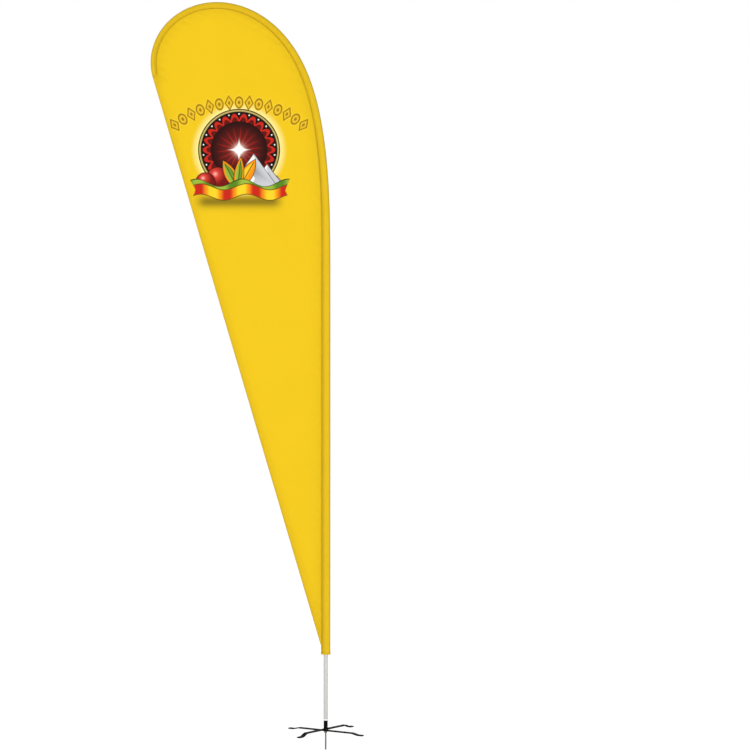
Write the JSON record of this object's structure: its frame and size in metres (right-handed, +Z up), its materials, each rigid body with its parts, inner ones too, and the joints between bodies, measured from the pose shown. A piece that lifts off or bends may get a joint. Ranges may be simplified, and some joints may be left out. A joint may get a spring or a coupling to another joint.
{
  "type": "teardrop flag",
  "caption": "Tall teardrop-shaped feather flag on a bent sectional pole, standing in a swivel socket on a folding cross base with a ground spike.",
  "frame": {"origin": "on the pole's axis at the level of the feet, where the spike enters the ground", "axes": "+Z up along the pole, the sail hangs towards -X in the XZ plane and its front faces -Y"},
  "size_m": [1.1972, 0.419, 4.1941],
  "materials": {
    "black_steel": "satin black powder coat",
    "zinc_steel": "dull zinc plate",
    "anodised_aluminium": "satin anodised",
    "white_nylon": "plain moulded",
    "fibreglass_rod": "pultruded, smooth",
    "rubber_cap": "matt",
    "sail_polyester": "printed knitted polyester",
    "sleeve_polyester": "doubled woven polyester",
    "black_webbing": "woven webbing"
  },
  "bodies": {
    "base": {"upper_leg_bar": "black_steel", "socket_tube": "black_steel", "pivot_stud": "zinc_steel", "pivot_washer": "white_nylon", "spring_washer": "zinc_steel", "conical_nut": "zinc_steel", "ground_spike": "zinc_steel", "thrust_washer": "white_nylon"},
    "lower_bar": {"lower_leg_bar": "black_steel"},
    "swivel": {"flanged_bush": "white_nylon"},
    "flag": {"pole_spigot": "zinc_steel", "lower_pole_tube": "anodised_aluminium", "lower_stop_collar": "anodised_aluminium", "middle_pole_tube": "anodised_aluminium", "upper_stop_collar": "anodised_aluminium", "bent_pole_rod": "fibreglass_rod", "tip_ferrule": "anodised_aluminium", "tip_rod": "fibreglass_rod", "tip_cap": "rubber_cap", "pole_sleeve": "sleeve_polyester", "mouth_hem": "sleeve_polyester", "tip_pocket": "sleeve_polyester", "sail_panel": "sail_polyester", "free_edge_hem": "sail_polyester", "tension_peg": "zinc_steel", "tension_loop": "black_webbing"}
  },
  "joints": [
    {"name": "lower_bar_fold", "type": "hinge", "parent": "base", "child": "lower_bar", "pos_m": [0, 0, 0.011], "axis": [0, 0, 1], "range_deg": [-83, 77]},
    {"name": "pole_swivel", "type": "hinge", "parent": "base", "child": "swivel", "pos_m": [0, 0, 0.0719], "axis": [0, 0, 1], "continuous": true},
    {"name": "pole_lift", "type": "slide", "parent": "swivel", "child": "flag", "axis": [0, 0, 1], "range_m": [0, 0.08]}
  ]
}
